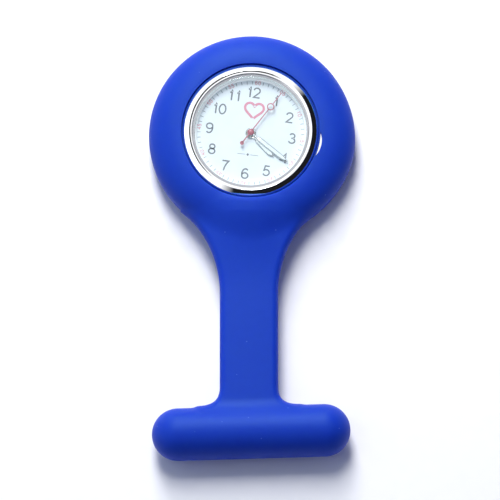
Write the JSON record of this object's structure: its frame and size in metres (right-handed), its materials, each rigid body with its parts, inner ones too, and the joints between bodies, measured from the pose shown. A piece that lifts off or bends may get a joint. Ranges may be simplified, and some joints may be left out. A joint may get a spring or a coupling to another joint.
{
  "type": "fob watch",
  "caption": "Quartz fob watch: a round watch head in a soft moulded holder that hangs by a strap from a bar with a hinged safety brooch pin.",
  "frame": {"origin": "on the dial's axis, in the plane of the holder's flat back", "axes": "+Z out of the dial towards the reader, +Y along the strap away from the bar, +X to the right of the dial. The watch head sits turned 8 degrees clockwise in its holder"},
  "size_m": [0.0424, 0.0891, 0.0099],
  "materials": {
    "blue_silicone": "smooth matte moulded silicone, royal blue",
    "chrome": "mirror polished plate",
    "brushed_steel": "fine brushed stainless steel",
    "polished_steel": "bright drawn steel wire and turned steel",
    "mineral_glass": "clear flat mineral glass",
    "grey_gasket": "grey nylon seal",
    "white_plastic": "satin white moulded plastic",
    "dial_white": "white lacquered dial with grey and red print",
    "black_rubber": "black nitrile",
    "nickel_plate": "nickel plated brass, fine grained",
    "board_green": "green solder resist on laminate",
    "black_epoxy": "black potting epoxy",
    "gilt_brass": "gilt finish",
    "brass": "machined brass",
    "soft_iron": "grey annealed soft iron",
    "copper_enamel": "enamelled copper wire winding",
    "magnet_grey": "sintered magnet on a plastic pinion",
    "hand_silver": "polished hands with white fill",
    "hand_red": "red lacquer"
  },
  "bodies": {
    "bar": {"holder_bar": "blue_silicone", "brooch_base": "brushed_steel", "brooch_rivet": "polished_steel"},
    "pin": {"brooch_pin": "polished_steel"},
    "catch": {"brooch_catch": "brushed_steel"},
    "holder": {"holder_head": "blue_silicone"},
    "watch": {"case_body": "chrome", "bezel": "chrome", "crystal": "mineral_glass", "crystal_gasket": "grey_gasket", "dial_ring": "white_plastic", "dial": "dial_white", "caseback": "brushed_steel", "caseback_gasket": "black_rubber", "movement_ring": "white_plastic", "stem_tube": "chrome", "main_plate": "nickel_plate", "train_bridge": "nickel_plate", "circuit_board": "board_green", "quartz_can": "nickel_plate", "ic_chip": "black_epoxy", "battery": "polished_steel", "battery_clamp": "polished_steel", "battery_spring": "gilt_brass", "coil_core": "soft_iron", "coil_winding": "copper_enamel", "stator": "soft_iron", "setting_cover": "nickel_plate", "movement_screws": "polished_steel"},
    "seconds": {"seconds_wheel": "brass", "second_hand": "hand_red"},
    "rotor": {"rotor": "magnet_grey"},
    "step": {"step_wheel": "brass"},
    "third": {"third_wheel": "brass"},
    "minutes": {"centre_wheel": "brass", "cannon_pinion": "gilt_brass", "minute_hand": "hand_silver"},
    "motion": {"minute_wheel": "brass"},
    "hours": {"hour_wheel": "brass", "hour_hand": "hand_silver"},
    "setting": {"setting_wheel": "brass"},
    "crown_seal": {"crown_gasket": "black_rubber"},
    "crown": {"crown": "chrome", "stem": "polished_steel"},
    "clutch": {"sliding_pinion": "polished_steel"},
    "lever": {"setting_lever": "polished_steel"},
    "yoke": {"yoke": "polished_steel"}
  },
  "joints": [
    {"name": "pin_swing", "type": "hinge", "parent": "bar", "child": "pin", "pos_m": [-0.013, -0.0625, 0.00145], "axis": [0, 1, 0], "range_deg": [0, 75]},
    {"name": "catch_turn", "type": "hinge", "parent": "bar", "child": "catch", "pos_m": [0.012, -0.0625, 0.00145], "axis": [1, 0, 0], "range_deg": [0, 150]},
    {"name": "strap_flex", "type": "hinge", "parent": "bar", "child": "holder", "pos_m": [0, -0.04, 0.0074], "axis": [1, 0, 0], "range_deg": [0, 110]},
    {"name": "head_twist", "type": "hinge", "parent": "holder", "child": "watch", "pos_m": [0, 0, 0.005], "axis": [0, 0, 1], "range_deg": [-8, 8]},
    {"name": "seconds_turn", "type": "hinge", "parent": "watch", "child": "seconds", "pos_m": [0, 0, 0.0075], "axis": [0, 0, -1], "continuous": true},
    {"name": "rotor_turn", "type": "hinge", "parent": "watch", "child": "rotor", "pos_m": [0.00283, 0.00468, 0.0035], "axis": [0, 0, -1], "continuous": true},
    {"name": "step_turn", "type": "hinge", "parent": "watch", "child": "step", "pos_m": [0.00185, 0.00237, 0.0032], "axis": [0, 0, -1], "continuous": true},
    {"name": "third_turn", "type": "hinge", "parent": "watch", "child": "third", "pos_m": [0.00235, -0.00184, 0.0038], "axis": [0, 0, -1], "continuous": true},
    {"name": "minutes_turn", "type": "hinge", "parent": "watch", "child": "minutes", "pos_m": [0, 0, 0.007], "axis": [0, 0, -1], "continuous": true},
    {"name": "motion_turn", "type": "hinge", "parent": "watch", "child": "motion", "pos_m": [0.00238, -0.00033, 0.0052], "axis": [0, 0, -1], "continuous": true},
    {"name": "hours_turn", "type": "hinge", "parent": "watch", "child": "hours", "pos_m": [0, 0, 0.0065], "axis": [0, 0, -1], "continuous": true},
    {"name": "setting_turn", "type": "hinge", "parent": "watch", "child": "setting", "pos_m": [0.00535, -0.00075, 0.005], "axis": [0, 0, -1], "continuous": true},
    {"name": "crown_pull", "type": "slide", "parent": "watch", "child": "crown_seal", "axis": [0.9903, -0.1392, 0], "range_m": [0, 0.0008]},
    {"name": "crown_turn", "type": "hinge", "parent": "crown_seal", "child": "crown", "pos_m": [0.01485, -0.00209, 0.0045], "axis": [0.9903, -0.1392, 0], "continuous": true},
    {"name": "clutch_slide", "type": "slide", "parent": "watch", "child": "clutch", "axis": [0.9903, -0.1392, 0], "range_m": [-0.00045, 0]},
    {"name": "lever_swing", "type": "hinge", "parent": "watch", "child": "lever", "pos_m": [0.00939, 0.0007, 0.005], "axis": [0, 0, 1], "range_deg": [0, 28.07]},
    {"name": "yoke_swing", "type": "hinge", "parent": "watch", "child": "yoke", "pos_m": [0.00784, 0.00193, 0.005], "axis": [0, 0, -1], "range_deg": [0, 11.07]}
  ],
  "couplings": [
    {"joint": "rotor_turn", "follows": "seconds_turn", "ratio": 30},
    {"joint": "step_turn", "follows": "seconds_turn", "ratio": -5},
    {"joint": "third_turn", "follows": "seconds_turn", "ratio": -0.13333},
    {"joint": "minutes_turn", "follows": "seconds_turn", "ratio": 0.016667},
    {"joint": "motion_turn", "follows": "seconds_turn", "ratio": -0.0055556},
    {"joint": "hours_turn", "follows": "seconds_turn", "ratio": 0.0013889},
    {"joint": "setting_turn", "follows": "seconds_turn", "ratio": 0.0083333},
    {"joint": "clutch_slide", "follows": "crown_pull", "ratio": -0.5625},
    {"joint": "lever_swing", "follows": "crown_pull", "rad_per_m": 612.37},
    {"joint": "yoke_swing", "follows": "crown_pull", "rad_per_m": 241.42}
  ]
}
